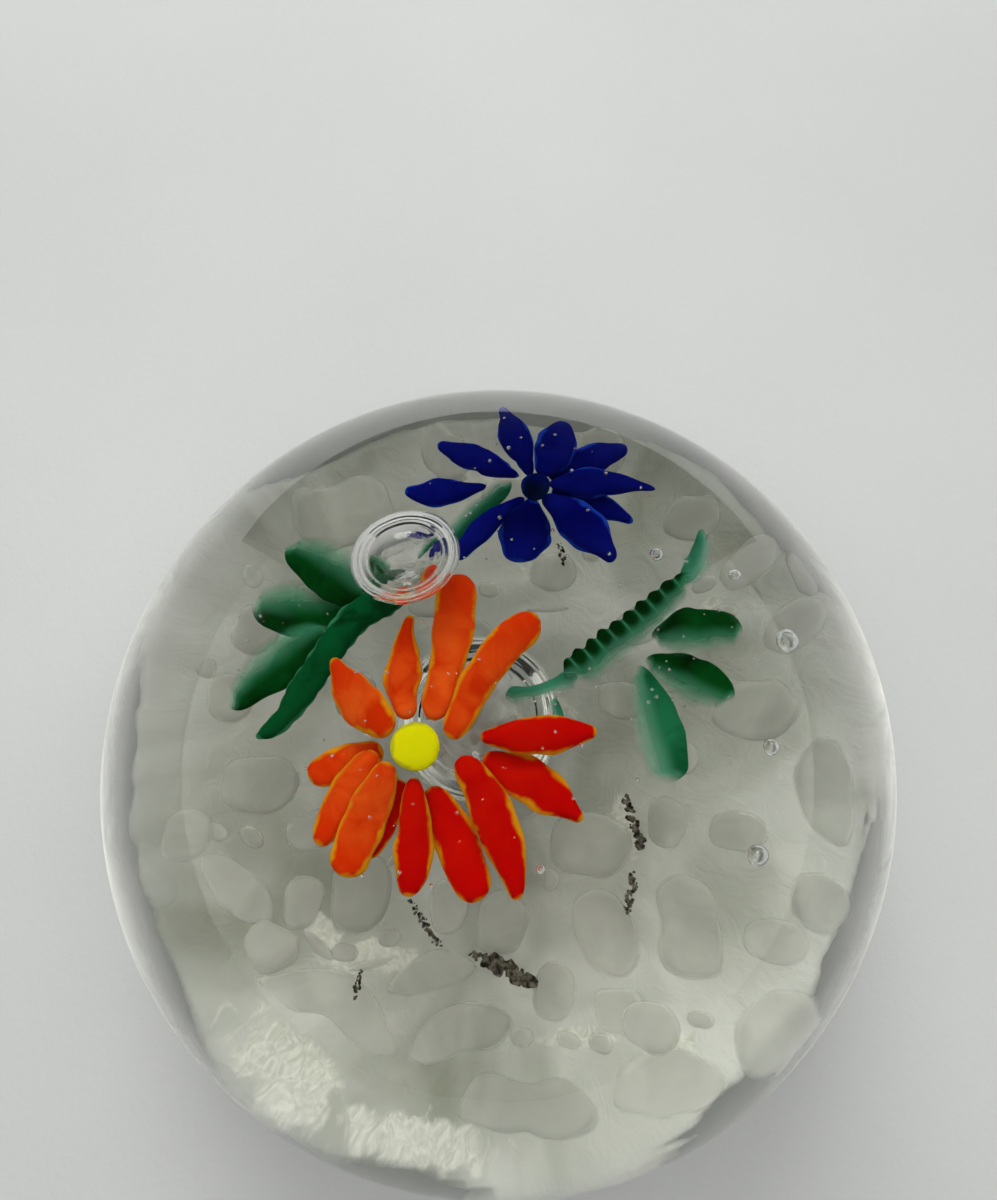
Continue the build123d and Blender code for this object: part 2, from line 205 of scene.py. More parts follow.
def milky_glass():
    """The layer under the chips: cloudy grey and cream, with painted light in bright ragged places where
    lit cloth would show through gaps.
    """
    material, tree, shader = sealed_material("milky_glass")
    broad = object_noise(tree, 75.0, detail=3.0, distortion=1.0)
    ragged = object_noise(tree, 420.0, detail=5.0, distortion=1.5)
    streaks = object_noise(tree, 900.0, detail=3.0, distortion=3.0)
    cloudy = map_range(tree, broad, 0.32, 0.68, 0.0, 1.0)
    ground = mix_colour(tree, cloudy, (0.28, 0.295, 0.235), (0.58, 0.595, 0.54))
    streaky = map_range(tree, streaks, 0.35, 0.65, 0.0, 1.0)
    painted_light_tone = mix_colour(tree, streaky, (0.48, 0.49, 0.42), (0.66, 0.67, 0.59))
    torn = map_range(tree, ragged, 0.3, 0.7, -0.35, 0.35)
    # Painted light: the bright places take a lighter tone, standing for lit cloth seen through gaps
    bright = math_node(tree, "ADD", attribute(tree, "bright"), torn)
    painted_light_share = map_range(tree, bright, 0.38, 0.62, 0.0, 1.0)
    tree.links.new(mix_colour(tree, painted_light_share, ground, painted_light_tone), shader.inputs["Base Color"])
    tree.links.new(map_range(tree, ragged, 0.2, 0.8, 0.4, 0.7), shader.inputs["Roughness"])
    bump(tree, shader, ragged, 0.4, 0.0005)
    return material


def dark_dirt():
    """Gritty dark specks caught between the chips."""
    material, tree, shader = sealed_material("trapped_dirt")
    grain = object_noise(tree, 2600.0, detail=4.0)
    level = map_range(tree, grain, 0.4, 0.65, 0.0, 1.0)
    tone = mix_colour(tree, level, (0.022, 0.018, 0.012), (0.20, 0.18, 0.14))
    tree.links.new(tone, shader.inputs["Base Color"])
    tree.links.new(map_range(tree, grain, 0.3, 0.7, 0.5, 0.9), shader.inputs["Roughness"])
    return material


def painted_side_sheen(tree):
    """Painted sheen round the dome, milkier glass that shines where the rim catches light: none on top,
    most at the left and right; heights in metres.
    """
    where = tree.nodes.new("ShaderNodeTexCoord")
    across, height = x_and_z(tree, where.outputs["Object"])
    low_down = map_range(tree, height, 0.037, 0.047, 1.0, 0.0, smooth=True)
    off_foot = map_range(tree, height, 0.0005, 0.004, 0.0, 1.0)
    sideways = math_node(tree, "ABSOLUTE", across)
    beside = map_range(tree, sideways, 0.014, 0.036, 0.06, 1.0, smooth=True)
    smear = object_noise(tree, 70.0, detail=6.0, roughness=0.65, distortion=2.0)
    patchy = map_range(tree, smear, 0.36, 0.60, 0.62, 1.0)
    share = math_node(tree, "MULTIPLY", low_down, beside)
    share = math_node(tree, "MULTIPLY", share, patchy)
    return math_node(tree, "MULTIPLY", share, off_foot)


def clear_glass():
    """Clear glass with a faint green tint in its depth, light wear, and painted sheen at the sides, where
    the glass turns milkier in place of the light on the rim.
    """
    material, tree, shader = new_material("clear_glass")
    shader.inputs["IOR"].default_value = 1.5
    shader.inputs["Base Color"].default_value = (1.0, 1.0, 1.0, 1.0)
    wear = object_noise(tree, 260.0, detail=5.0, roughness=0.6)
    tree.links.new(map_range(tree, wear, 0.62, 0.80, 0.0, 0.06), shader.inputs["Roughness"])
    # Painted sheen: less transmission and more sheen at the left and right stand in for light falling on
    # the rim there
    side_sheen = painted_side_sheen(tree)
    tree.links.new(map_range(tree, side_sheen, 0.0, 1.0, 1.0, 0.80), shader.inputs["Transmission Weight"])
    tree.links.new(map_range(tree, side_sheen, 0.0, 1.0, 0.0, 1.0), shader.inputs["Sheen Weight"])
    shader.inputs["Sheen Roughness"].default_value = 0.45
    shader.inputs["Sheen Tint"].default_value = (1.0, 1.0, 0.93, 1.0)
    swirl = object_noise(tree, 60.0, detail=2.0, distortion=1.2)
    bump(tree, shader, swirl, 0.03, 0.002)
    volume = tree.nodes.new("ShaderNodeVolumeAbsorption")
    volume.inputs["Color"].default_value = (0.72, 0.76, 0.60, 1.0)
    volume.inputs["Density"].default_value = 4.0
    tree.links.new(volume.outputs["Volume"], tree.nodes["Material Output"].inputs["Volume"])
    return material


def pale_floor():
    """Pale cloth with a fine weave and slow changes of tone."""
    material, tree, shader = new_material("pale_floor")
    cloth = object_noise(tree, 1100.0, detail=2.0)
    soft = object_noise(tree, 16.0, detail=4.0)
    level = map_range(tree, soft, 0.35, 0.65, 0.0, 1.0)
    tone = mix_colour(tree, level, (0.670, 0.683, 0.666), (0.702, 0.715, 0.702))
    tree.links.new(tone, shader.inputs["Base Color"])
    tree.links.new(map_range(tree, cloth, 0.3, 0.7, 0.6, 0.8), shader.inputs["Roughness"])
    bump(tree, shader, cloth, 0.25, 0.0002)
    return material


WALL_GLOW = 0.8


def pale_wall():
    """A softly lit wall of even, slightly cloudy tone."""
    material, tree, shader = new_material("pale_backdrop")
    shade = object_noise(tree, 0.8, detail=3.0)
    level = map_range(tree, shade, 0.3, 0.7, 0.0, 1.0)
    tone = mix_colour(tree, level, (0.60, 0.61, 0.595), (0.66, 0.67, 0.655))
    tree.links.new(tone, shader.inputs["Base Color"])
    tree.links.new(tone, shader.inputs["Emission Color"])
    shader.inputs["Emission Strength"].default_value = WALL_GLOW
    return material


def black_card():
    material, _, shader = new_material("dark_card")
    shader.inputs["Base Color"].default_value = (0.01, 0.01, 0.01, 1.0)
    shader.inputs["Roughness"].default_value = 0.6
    return material


AMBER = (0.80, 0.33, 0.008)
LIGHT_ORANGE = inner_glass(
    "orange_glass",
    core=(0.88, 0.110, 0.010),
    deep=(0.72, 0.032, 0.001),
    tip=(0.78, 0.032, 0.001),
    edge=AMBER,
    edge_start=0.74,
)
DEEP_ORANGE = inner_glass(
    "deep_orange_glass",
    core=(0.66, 0.006, 0.001),
    deep=(0.58, 0.002, 0.001),
    tip=(0.60, 0.001, 0.001),
    edge=AMBER,
    edge_start=0.76,
)
YELLOW = inner_glass(
    "yellow_glass",
    core=(0.95, 0.88, 0.003),
    deep=(0.90, 0.88, 0.003),
    tip=(0.95, 0.88, 0.003),
    edge=(0.72, 0.66, 0.02),
    edge_start=0.86,
)
BLUE = inner_glass(
    "blue_glass",
    core=(0.003, 0.006, 0.17),
    deep=(0.001, 0.002, 0.11),
    tip=(0.003, 0.006, 0.18),
    edge=(0.01, 0.05, 0.45),
    edge_start=0.84,
)
DARK_BLUE = inner_glass(
    "dark_blue_glass",
    core=(0.003, 0.012, 0.05),
    deep=(0.001, 0.004, 0.02),
    tip=(0.001, 0.002, 0.10),
    edge=(0.003, 0.01, 0.12),
    edge_start=0.80,
)
TWIST_GREEN = inner_glass(
    "twist_green",
    core=(0.002, 0.090, 0.024),
    deep=(0.001, 0.030, 0.006),
    tip=(0.003, 0.090, 0.022),
    edge=(0.05, 0.27, 0.13),
    edge_start=0.74,
)
LEAF_GREEN = fading_glass(
    "leaf_green", core=(0.001, 0.070, 0.009), deep=(0.001, 0.022, 0.001), pale=(0.075, 0.38, 0.20)
)
MIDDLE_GREEN = fading_glass(
    "middle_green", core=(0.016, 0.180, 0.075), deep=(0.004, 0.090, 0.030), pale=(0.14, 0.46, 0.29)
)
STEM_GREEN = fading_glass(
    "stem_green", core=(0.002, 0.100, 0.028), deep=(0.001, 0.022, 0.002), pale=(0.090, 0.38, 0.22)
)
PALE_GREEN = fading_glass(
    "pale_green",
    core=(0.050, 0.320, 0.180),
    deep=(0.015, 0.180, 0.090),
    pale=(0.24, 0.55, 0.40),
    strength=0.85,
)
# The edge tone is painted light, lighter than the chip on its steep sides
CHIP_WHITE = chip_glass(
    "white_glass", tone=(0.47, 0.48, 0.42), edge=(0.56, 0.57, 0.51), alpha_inside=0.80, alpha_edge=0.0
)
BED_WHITE = milky_glass()
DIRT = dark_dirt()
CLEAR = clear_glass()


# ------------------------------------------------------------- mesh from nodes

def link(obj):
    scene.collection.objects.link(obj)
    return obj


def remeshed(node, voxel, rounds):
    """An even mesh of a CAD node's own shape, softened like drawn hot glass."""
    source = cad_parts[node]
    working = link(bpy.data.objects.new(node + "_work", source.data.copy()))
    grid = working.modifiers.new("even", "REMESH")
    grid.mode = "VOXEL"
    grid.voxel_size = voxel * MM
    soften = working.modifiers.new("soften", "SMOOTH")
    soften.factor = 0.5
    soften.iterations = rounds
    graph = bpy.context.evaluated_depsgraph_get()
    graph.update()
    mesh = bpy.data.meshes.new_from_object(working.evaluated_get(graph))
    bpy.data.objects.remove(working)
    return mesh


def coordinates(mesh):
    """Every point of a mesh, in metres."""
    points = np.empty(len(mesh.vertices) * 3)
    mesh.vertices.foreach_get("co", points)
    return points.reshape(-1, 3)


def normals_of(mesh):
    mesh.update()
    values = np.empty(len(mesh.vertices) * 3)
    mesh.vertex_normals.foreach_get("vector", values)
    return values.reshape(-1, 3)


def store(mesh, name, values):
    layer = mesh.attributes.new(name, "FLOAT", "POINT")
    layer.data.foreach_set("value", np.asarray(values, dtype=float))


def stored(mesh, name):
    values = np.empty(len(mesh.vertices))
    mesh.attributes[name].data.foreach_get("value", values)
    return values


def seen_from_above(mesh):
    """The points in plan, measured from their middle, with the middle and the two main axes."""
    flat = coordinates(mesh)[:, :2]
    middle = flat.mean(axis=0)
    _, _, axes = np.linalg.svd(flat - middle, full_matrices=False)
    return flat - middle, middle, axes


def smoothed(values):
    """Each value drawn a little towards its two neighbours."""
    return np.convolve(np.pad(values, 1, mode="edge"), (0.25, 0.5, 0.25), "valid")


RIM_BINS = 24        # places along a piece where its two sides are measured
RIM_SMOOTHINGS = 2
END_REACH = 0.8      # how far the rim reaches in from an end, as a share of the half width


def mark_rim(mesh, root):
    """How near each point is to the piece's edge, seen from above, and how far from its root."""
    offset, middle, axes = seen_from_above(mesh)
    outwards = axes[0] if axes[0] @ (middle - np.array(root) * MM) > 0 else -axes[0]
    along = offset @ outwards
    across = offset @ axes[1]
    low, high = along.min(), along.max()
    share = (along - low) / (high - low)
    index = np.clip((share * RIM_BINS).astype(int), 0, RIM_BINS - 1)
    left = np.zeros(RIM_BINS)
    right = np.zeros(RIM_BINS)
    for k in range(RIM_BINS):
        inside = across[index == k]
        if len(inside):
            left[k] = inside.min()
            right[k] = inside.max()
    for _ in range(RIM_SMOOTHINGS):
        left = smoothed(left)
        right = smoothed(right)
    place = share * RIM_BINS - 0.5
    left_here = np.interp(place, np.arange(RIM_BINS), left)
    right_here = np.interp(place, np.arange(RIM_BINS), right)
    centre = (left_here + right_here) / 2
    half = np.maximum((right_here - left_here) / 2, 1e-5)
    sides = np.clip(np.abs(across - centre) / half, 0, 1)
    ends = np.clip(1 - np.minimum(along - low, high - along) / (half.max() * END_REACH), 0, 1)
    store(mesh, "rim", np.maximum(sides, ends))
    store(mesh, "along", share)


def mark_flat(mesh):
    """1 where the surface faces up, falling to 0 on steep sides and underneath."""
    store(mesh, "flat", np.clip(normals_of(mesh)[:, 2], 0, 1))


THIN_BINS = 20       # places along a piece where its dense and thin sides are measured
END_FADE = 0.10      # share of the length over which both ends thin away
END_THINNING = 0.45  # how much more the very ends thin


def mark_thinning(mesh, towards):
    """0 along the dense side of a piece, rising to 1 at the side it thins towards."""
    offset, _, axes = seen_from_above(mesh)
    sideways = axes[1] if axes[1] @ np.array(towards) > 0 else -axes[1]
    along = offset @ axes[0]
    across = offset @ sideways
    place = (along - along.min()) / (along.max() - along.min())
    index = np.clip((place * THIN_BINS).astype(int), 0, THIN_BINS - 1)
    dense = np.array([across[index == k].min() for k in range(THIN_BINS)])
    thin = np.array([across[index == k].max() for k in range(THIN_BINS)])
    centres = (np.arange(THIN_BINS) + 0.5) / THIN_BINS
    dense_here = np.interp(place, centres, dense)
    thin_here = np.interp(place, centres, thin)
    share = (across - dense_here) / np.maximum(thin_here - dense_here, 1e-5)
    ends = np.clip(1 - np.minimum(place, 1 - place) / END_FADE, 0, 1)
    store(mesh, "thinning", np.clip(share, 0, 1) + END_THINNING * ends)


BEADS = 10
BEAD_CENTRE = 0.16   # where a bead sits, from the dense side at 0 to the thin side at 1
BEAD_RADIUS = 0.34   # on the same scale
BEAD_EDGE = 2.2      # how sharply a bead ends
GROOVE_START = 0.80  # from the middle of a bead at 0 to half way to the next at 1
GROOVE_END = 0.62    # from the dense side at 0 to the thin side at 1
GROOVE_DEPTH = 0.75  # how far a groove goes towards the pale colour


def mark_beads(mesh):
    """A row of dark beads along the dense side, and pale grooves between them."""
    thinning = stored(mesh, "thinning")
    pitch = stored(mesh, "along") * BEADS
    from_bead = np.abs(pitch - np.floor(pitch) - 0.5) * 2
    distance = np.hypot(from_bead, (thinning - BEAD_CENTRE) / BEAD_RADIUS)
    between = np.clip((from_bead - GROOVE_START) / 0.2, 0, 1)
    reach = np.clip((GROOVE_END - thinning) / 0.3, 0, 1)
    store(mesh, "bead", np.clip((1.0 - distance) * BEAD_EDGE, 0, 1))
    store(mesh, "groove", GROOVE_DEPTH * (between * reach))


# Painted light in the milky layer, bright places standing for lit gaps: centre, length, width and turn
LIT_GAP_PLACES = (
    ((-9.0, -13.0), 7.5, 2.2, -8),
    ((-12.3, -11.3), 4.5, 1.7, -50),
    ((-13.2, -18.4), 10.5, 3.4, -38),
    ((-4.6, -22.4), 12.0, 2.4, -12),
    ((5.4, -17.7), 5.5, 1.3, 5),
    ((11.5, -18.5), 4.0, 1.8, 60),
    ((2.6, 14.6), 3.6, 1.8, 60),
    ((14.8, 10.9), 3.2, 1.6, 40),
    ((9.4, -4.4), 1.8, 5.5, 10),
    ((4.6, 3.4), 3.0, 5.0, 0),
)


def mark_painted_light(mesh):
    """1 in the middle of each place of painted light, falling to 0 a little outside its edge."""
    points = coordinates(mesh)[:, :2] / MM
    bright = np.zeros(len(points))
    for centre, length, width, turn in LIT_GAP_PLACES:
        angle = math.radians(turn)
        offset = points - np.array(centre)
        along = (offset @ np.array((math.cos(angle), math.sin(angle)))) / (length / 2)
        across = (offset @ np.array((-math.sin(angle), math.cos(angle)))) / (width / 2)
        bright = np.maximum(bright, np.clip(1.3 - np.hypot(along, across), 0, 1))
    store(mesh, "bright", bright)


LUMP_WAVES = 7       # sine waves that are added up
LUMP_SCALE = 1500.0  # on a coloured piece, in radians per metre


def lumps(points, scale, seed):
    """Smooth uneven values, mostly between -1 and 1, at the given points."""
    chance = np.random.default_rng(seed)
    total = np.zeros(len(points))
    for _ in range(LUMP_WAVES):
        direction = chance.normal(size=3)
        direction /= np.linalg.norm(direction)
        frequency = scale * chance.uniform(0.6, 1.8)
        total += np.sin(points @ direction * frequency + chance.uniform(0, 2 * math.pi))
    return total / LUMP_WAVES ** 0.5


def wobble(mesh, amount, seed):
    """Small uneven swelling, as hot glass has."""
    points = coordinates(mesh)
    swelling = lumps(points, LUMP_SCALE, seed) * amount * MM
    moved = points + normals_of(mesh) * swelling[:, None]
    mesh.vertices.foreach_set("co", moved.ravel())
    mesh.update()


def inner_piece(node, material, voxel=0.16, rounds=3, lump=0.08, root=(0, 0)):
    """The visual piece for one CAD node sealed in the glass."""
    mesh = remeshed(node, voxel, rounds)
    wobble(mesh, lump, sum(ord(letter) for letter in node) % 97)
    mark_rim(mesh, root)
    mesh.shade_smooth()
    mesh.materials.clear()
    mesh.materials.append(material)
    piece = link(bpy.data.objects.new(node + "_glass", mesh))
    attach(piece, "root")
    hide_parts(node)
    return piece


# The way each green piece thins, seen from above, and its colour
THINNING = {
    "left_leaf_01": ((-0.4, 1.0), LEAF_GREEN),
    "left_leaf_02": ((-0.3, 1.0), LEAF_GREEN),
    "left_leaf_03": ((-1.0, 0.6), LEAF_GREEN),
    "right_leaf_01": ((0.0, -1.0), LEAF_GREEN),
    "right_leaf_02": ((-0.6, -1.0), LEAF_GREEN),
    "right_leaf_03": ((-1.0, -0.2), MIDDLE_GREEN),
    "right_stem": ((0.7, -0.7), STEM_GREEN),
    "right_tip": ((1.0, -0.3), PALE_GREEN),
    "right_link_01": ((0.0, -1.0), PALE_GREEN),
    "right_link_02": ((-1.0, 0.0), PALE_GREEN),
    "blue_stem": ((-0.7, 0.7), MIDDLE_GREEN),
}
DEEP_PETALS = {f"orange_petal_{number:02d}" for number in range(5, 11)}
ORANGE_MIDDLE = (-6.0, 0.8)
BLUE_MIDDLE = (2.8, 20.1)

for node in sorted(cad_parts):
    if node.startswith("orange_petal"):
        colour = DEEP_ORANGE if node in DEEP_PETALS else LIGHT_ORANGE
        inner_piece(node, colour, root=ORANGE_MIDDLE)
    elif node == "orange_centre":
        inner_piece(node, YELLOW, lump=0.06)
    elif node.startswith("blue_petal"):
        inner_piece(node, BLUE, root=BLUE_MIDDLE)
    elif node == "blue_centre":
        inner_piece(node, DARK_BLUE, lump=0.10)
    elif node == "left_stem":
        inner_piece(node, TWIST_GREEN, voxel=0.13, root=BLUE_MIDDLE)
    elif node in THINNING:
        towards, material = THINNING[node]
        piece = inner_piece(node, material, voxel=0.13)
        mark_thinning(piece.data, towards)
        if node == "right_stem":
            mark_beads(piece.data)
    elif node == "opal_bed":
        piece = inner_piece(node, BED_WHITE, voxel=0.3, lump=0.06)
        mark_painted_light(piece.data)
    elif node.startswith("opal"):
        piece = inner_piece(node, CHIP_WHITE, voxel=0.22, rounds=8, lump=0.10)
        mark_flat(piece.data)
        # Opal glass lets light through, so the chips keep none from the milky layer
        piece.visible_shadow = False
        piece.visible_diffuse = False


# ---------------------------------------------------------------- trapped dirt

DIRT_HEIGHT = 8.9
FLAKE_HALF_THICKNESS = 0.16
FLAKES_PER_MM = 16
# Shares of the streak's width: how far a flake strays, and its least and greatest size
FLAKE_STRAY = 0.35
FLAKE_SIZES = (0.10, 0.32)
FLAKE_CORNERS = (0.6, 1.2)  # how far its corners reach, as a share of its size
# Start, end, width at the start and at the end of each dark streak
DIRT_STREAKS = (
    ((9.3, -2.4), (10.4, -6.0), 0.7, 0.9),
    ((9.8, -7.8), (9.0, -10.3), 0.9, 0.6),
    ((-6.4, -9.5), (-4.1, -12.5), 0.4, 0.7),
    ((-2.0, -13.0), (1.7, -14.4), 0.6, 1.9),
    ((-9.4, -13.9), (-9.7, -15.4), 0.4, 0.5),
    ((4.6, 16.3), (5.0, 14.9), 0.5, 0.5),
)


def dirt_streaks():
    """Flat dark flakes strewn along each streak."""
    chance = random.Random(5)
    flakes = bmesh.new()
    for start, end, first, last in DIRT_STREAKS:
        length = math.dist(start, end)
        for step in range(int(length * FLAKES_PER_MM)):
            share = (step + chance.random()) / (length * FLAKES_PER_MM)
            width = first + (last - first) * share
            x = start[0] + (end[0] - start[0]) * share + chance.uniform(-FLAKE_STRAY, FLAKE_STRAY) * width
            y = start[1] + (end[1] - start[1]) * share + chance.uniform(-FLAKE_STRAY, FLAKE_STRAY) * width
            size = width * chance.uniform(*FLAKE_SIZES)
            flake = bmesh.ops.create_icosphere(flakes, subdivisions=1, radius=1.0)
            for vertex in flake["verts"]:
                reach = size * chance.uniform(*FLAKE_CORNERS)
                vertex.co.x = (x + vertex.co.x * reach) * MM
                vertex.co.y = (y + vertex.co.y * reach) * MM
                vertex.co.z = (DIRT_HEIGHT + vertex.co.z * FLAKE_HALF_THICKNESS) * MM
    mesh = bpy.data.meshes.new("trapped_dirt")
    flakes.to_mesh(mesh)
    flakes.free()
    mesh.materials.append(DIRT)
    streaks = link(bpy.data.objects.new("trapped_dirt", mesh))
    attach(streaks, "root")


dirt_streaks()


# ------------------------------------------------------------------ clear body

DOME_STEPS = 120     # rings from the top down to the widest line
LOWER_STEPS = 60     # rings from there down to the foot
FOOT_RINGS = (0.97, 0.9, 0.75, 0.5, 0.25)
LATHE_SIDES = 256


def clear_profile():
    """Half width and height from the top down to the foot's middle."""
    points = [(0.0, EQUATOR_HEIGHT + DOME_RADIUS)]
    for step in range(1, DOME_STEPS + 1):
        angle = math.radians(90 * step / DOME_STEPS)
        points.append((DOME_RADIUS * math.sin(angle), EQUATOR_HEIGHT + DOME_RADIUS * math.cos(angle)))
    last = math.asin(EQUATOR_HEIGHT / LOWER_HALF_AXIS)
    for step in range(1, LOWER_STEPS + 1):
        angle = last * step / LOWER_STEPS
        points.append((DOME_RADIUS * math.cos(angle), EQUATOR_HEIGHT - LOWER_HALF_AXIS * math.sin(angle)))
    for share in FOOT_RINGS:
        points.append((FOOT_RADIUS * share, 0.0))
    points.append((0.0, 0.0))
    return points


def ring_of_points(shape, radius, height, count):
    """Points round the Z axis."""
    ring = []
    for step in range(count):
        angle = 2 * math.pi * step / count
        x = radius * math.cos(angle) * MM
        y = radius * math.sin(angle) * MM
        ring.append(shape.verts.new((x, y, height * MM)))
    return ring


def add_lathe(shape, profile, count):
    """Turn a profile round the Z axis; a point on the axis closes it."""
    rings = []
    for radius, height in profile:
        if radius == 0.0:
            rings.append([shape.verts.new((0, 0, height * MM))])
        else:
            rings.append(ring_of_points(shape, radius, height, count))
    for upper, lower in zip(rings, rings[1:]):
        for step in range(count):
            after = (step + 1) % count
            if len(upper) == 1:
                shape.faces.new((upper[0], lower[step], lower[after]))
            elif len(lower) == 1:
                shape.faces.new((upper[step], lower[0], upper[after]))
            else:
                shape.faces.new((upper[step], lower[step], lower[after], upper[after]))


# Air sealed in the dome: centre, half sizes along X, Y and Z, and turn
BUBBLES = (
    ((-6.9, 14.6, 27.2), (4.1, 3.5, 2.7), 20),
    ((-1.5, 3.2, 14.5), (6.1, 6.1, 4.2), 0),
    ((11.6, 14.8, 25.0), (0.5, 0.5, 0.5), 0),
    ((17.3, 13.3, 24.0), (0.5, 0.4, 0.4), 0),
    ((21.0, 8.4, 26.0), (0.9, 0.9, 0.9), 0),
    ((19.3, 0.8, 26.0), (0.6, 0.6, 0.6), 0),
    ((17.9, -6.6, 26.0), (0.75, 0.75, 0.75), 0),
    ((2.9, -7.6, 28.0), (0.3, 0.3, 0.3), 0),
)
BUBBLE_CLEARANCE = 1.2  # air seeds keep this far off, as a share of the bubble's half length
LARGE_BUBBLE = 2.0      # bubbles with a longer half length have rings on their sides
LARGE_DIVISIONS = 6
SMALL_DIVISIONS = 3
SEED_DIVISIONS = 2
RIPPLES = 34            # rings on a large bubble, once over the top and round
RIPPLE_DEPTH = 0.006    # half depth of a ring, as a share of the bubble's size
RIPPLE_TOP = 0.86       # the rings stop here, from the bubble's middle at 0 to its top at 1


def ripple_at(height):
    """The share of a large bubble's size at one height, from -1 at the bottom to 1 at the top."""
    beside = max(0.0, min(1.0, (RIPPLE_TOP - abs(height)) / 0.2))
    rings = math.cos(RIPPLES * math.acos(max(-1.0, min(1.0, height))))
    return 1.0 - RIPPLE_DEPTH * beside * (1.0 - rings)


def add_bubble(shape, centre, half_sizes, turn, divisions):
    """A closed air space; its faces look inwards, away from the glass."""
    ball = bmesh.ops.create_icosphere(shape, subdivisions=divisions, radius=1.0)
    angle = math.radians(turn)
    for vertex in ball["verts"]:
        ripple = ripple_at(vertex.co.z) if half_sizes[0] > LARGE_BUBBLE else 1.0
        x, y, z = (vertex.co[i] * half_sizes[i] * ripple for i in range(3))
        vertex.co.x = (centre[0] + x * math.cos(angle) - y * math.sin(angle)) * MM
        vertex.co.y = (centre[1] + x * math.sin(angle) + y * math.cos(angle)) * MM
        vertex.co.z = (centre[2] + z) * MM
    faces = {face for vertex in ball["verts"] for face in vertex.link_faces}
    bmesh.ops.reverse_faces(shape, faces=list(faces))


LEAF_SEEDS = 7
OTHER_SEEDS = 3
SEED_LIFTS = (0.25, 0.8)    # least and greatest height above the coloured piece
SEED_RADII = (0.06, 0.16)


def seed_places():
    """Tiny air seeds trapped on the coloured glass: centre and radius."""
    chance = random.Random(11)
    places = []
    for node in sorted(THINNING) + [n for n in sorted(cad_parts) if "petal" in n]:
        low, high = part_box(node)
        for _ in range(LEAF_SEEDS if "leaf" in node else OTHER_SEEDS):
            x = chance.uniform(low[0], high[0]) / MM
            y = chance.uniform(low[1], high[1]) / MM
            z = high[2] / MM + chance.uniform(*SEED_LIFTS)
            places.append(((x, y, z), chance.uniform(*SEED_RADII)))
    return places


SIDE_WAVES = 0.40    # deepest hollow in the lower side
SIDE_BOTTOM = 0.2    # the side is wavy from this height
SIDE_TOP = 15.0      # up to this one
WAVE_SCALE = 300.0   # in radians per metre
WAVE_SEED = 3


def wavy_side(mesh):
    """The lower side was never ground, so it keeps the shallow waves of hot glass."""
    points = coordinates(mesh)
    height = points[:, 2] / MM
    reach = np.hypot(points[:, 0], points[:, 1]) / MM
    window = np.clip((height - SIDE_BOTTOM) / (SIDE_TOP - SIDE_BOTTOM), 0, 1)
    waves = 0.5 + 0.5 * np.clip(lumps(points, WAVE_SCALE, WAVE_SEED), -1, 1)
    depth = SIDE_WAVES * np.sin(math.pi * window) * waves
    side = (reach > FOOT_RADIUS) & (height < SIDE_TOP)
    share = np.where(side, 1.0 - depth / np.maximum(reach, 1.0), 1.0)
    points[:, 0] *= share
    points[:, 1] *= share
    mesh.vertices.foreach_set("co", points.ravel())
    mesh.update()


def clear_of_bubbles(place):
    return all(math.dist(place, centre) > BUBBLE_CLEARANCE * max(sizes) for centre, sizes, _ in BUBBLES)


def clear_body():
    """Both clear gathers as one closed body with the air in it."""
    shape = bmesh.new()
    add_lathe(shape, clear_profile(), LATHE_SIDES)
    bmesh.ops.recalc_face_normals(shape, faces=shape.faces)
    for centre, half_sizes, turn in BUBBLES:
        divisions = LARGE_DIVISIONS if half_sizes[0] > LARGE_BUBBLE else SMALL_DIVISIONS
        add_bubble(shape, centre, half_sizes, turn, divisions)
    for centre, radius in seed_places():
        if clear_of_bubbles(centre):
            add_bubble(shape, centre, (radius, radius, radius), 0, SEED_DIVISIONS)
    mesh = bpy.data.meshes.new("clear_body")
    shape.to_mesh(mesh)
    shape.free()
    wavy_side(mesh)
    mesh.shade_smooth()
    mesh.materials.append(CLEAR)
    body = link(bpy.data.objects.new("clear_body", mesh))
    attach(body, "root")
    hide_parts("clear_dome", "clear_base")


clear_body()


# ----------------------------------------------------------- floor and lighting

FLOOR_REACH = 3000.0
FLOOR_DROP = 0.1     # keeps the floor just clear of the foot


def studio_floor():
    """A square of pale cloth under the weight."""
    reach = FLOOR_REACH * MM
    corners = [(-reach, -reach, 0), (reach, -reach, 0), (reach, reach, 0), (-reach, reach, 0)]
    mesh = bpy.data.meshes.new("floor")
    mesh.from_pydata(corners, [], [(0, 1, 2, 3)])
    mesh.materials.append(pale_floor())
    floor = link(bpy.data.objects.new("floor", mesh))
    floor.location.z = -FLOOR_DROP * MM


def studio_sky():
    """Nearly black overhead, and bright low down at the left and right."""
    world = bpy.data.worlds.new("studio")
    scene.world = world
    world.use_nodes = True
    sky = world.node_tree
    background = sky.nodes["Background"]
    background.inputs["Strength"].default_value = 1.0
    where = sky.nodes.new("ShaderNodeTexCoord")
    across, up = x_and_z(sky, where.outputs["Generated"])
    low_down = map_range(sky, up, 0.02, 0.24, 1.0, 0.0)
    across_squared = math_node(sky, "MULTIPLY", across, across)
    beside = map_range(sky, across_squared, 0.1, 0.8, 0.12, 1.0)
    level = math_node(sky, "MULTIPLY", low_down, beside)
    tone = mix_colour(sky, level, (0.016, 0.017, 0.016), (0.95, 0.96, 0.88))
    sky.links.new(tone, background.inputs["Color"])


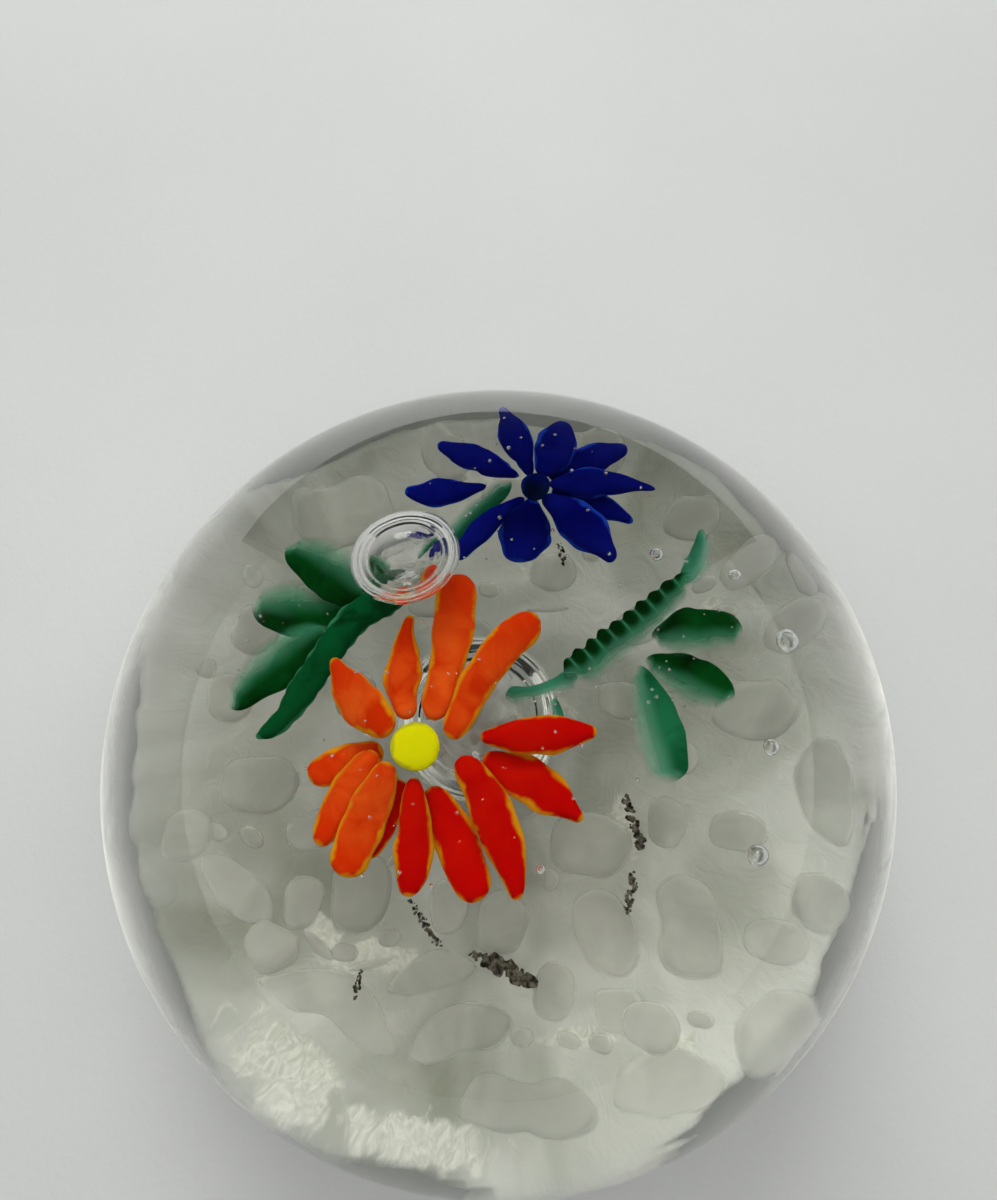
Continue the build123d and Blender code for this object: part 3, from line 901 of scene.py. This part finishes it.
def area_light(name, place, aim, size, power):
    """A round lamp that leaves no shine on the glass; place, aim and size in metres."""
    light = bpy.data.lights.new(name, "AREA")
    light.shape = "DISK"
    light.size = size
    light.energy = power
    lamp = link(bpy.data.objects.new(name, light))
    lamp.location = place
    direction = Vector(aim) - Vector(place)
    lamp.rotation_euler = direction.to_track_quat("-Z", "Y").to_euler()
    lamp.visible_glossy = False


studio_floor()
studio_sky()
area_light("ceiling", place=(0.0, 0.2, 1.2), aim=(0, 0, 0.0), size=2.0, power=14.7)
area_light("window", place=(-0.05, 0.42, 0.40), aim=(0, 0.02, 0.0), size=0.3, power=1.3)


# ---------------------------------------------------------------------- camera

CAMERA_DISTANCE = 97.47   # from the middle of the dome
VIEW_ELEVATION = 88.5     # degrees
PITCH_OFFSET = 10.6       # degrees that the lens points above the middle of the dome
LENS = 26.0
SENSOR_HEIGHT = 36.0

camera_data = bpy.data.cameras.new("camera")
camera_data.sensor_fit = "VERTICAL"
camera_data.sensor_height = SENSOR_HEIGHT
camera_data.lens = LENS
camera_data.clip_start = 0.001
camera = link(bpy.data.objects.new("camera", camera_data))
elevation = math.radians(VIEW_ELEVATION)
camera.location = (
    0.0,
    -CAMERA_DISTANCE * math.cos(elevation) * MM,
    (EQUATOR_HEIGHT + CAMERA_DISTANCE * math.sin(elevation)) * MM,
)
camera.rotation_euler = (math.radians(90 - (VIEW_ELEVATION - PITCH_OFFSET)), 0.0, 0.0)
scene.camera = camera


# ------------------------------------------------------------ cards and backdrop

CARD_BLACK = black_card()
CARD_ABOVE = ((-49, -130, 110), (26, -130, 110), (26, 20, 126), (-49, 20, 126))
CARD_BEHIND = ((-130, 110, 0), (130, 110, 0), (130, 118, 100), (-130, 118, 100))
WALL_SIDES = 64
WALL_RADIUS = 2400.0
WALL_HEIGHTS = (-20.0, 2600.0)


def dark_card(name, corners, through_glass):
    """A studio flag that only the glass sees: it keeps stray shine off the flowers."""
    mesh = bpy.data.meshes.new(name)
    places = [tuple(part * MM for part in corner) for corner in corners]
    mesh.from_pydata(places, [], [(0, 1, 2, 3)])
    mesh.materials.append(CARD_BLACK)
    card = link(bpy.data.objects.new(name, mesh))
    card.visible_camera = False
    card.visible_diffuse = False
    card.visible_transmission = through_glass
    card.visible_shadow = False


def pale_backdrop():
    """A round studio wall, far off, that only the camera sees."""
    wall = bmesh.new()
    lower, upper = (ring_of_points(wall, WALL_RADIUS, height, WALL_SIDES) for height in WALL_HEIGHTS)
    for step in range(WALL_SIDES):
        after = (step + 1) % WALL_SIDES
        wall.faces.new((lower[step], upper[step], upper[after], lower[after]))
    mesh = bpy.data.meshes.new("backdrop")
    wall.to_mesh(mesh)
    wall.free()
    mesh.shade_smooth()
    mesh.materials.append(pale_wall())
    backdrop = link(bpy.data.objects.new("backdrop", mesh))
    backdrop.visible_diffuse = False
    backdrop.visible_glossy = False
    backdrop.visible_transmission = False
    backdrop.visible_shadow = False


dark_card("card_above", CARD_ABOVE, through_glass=False)
dark_card("card_behind", CARD_BEHIND, through_glass=True)
pale_backdrop()
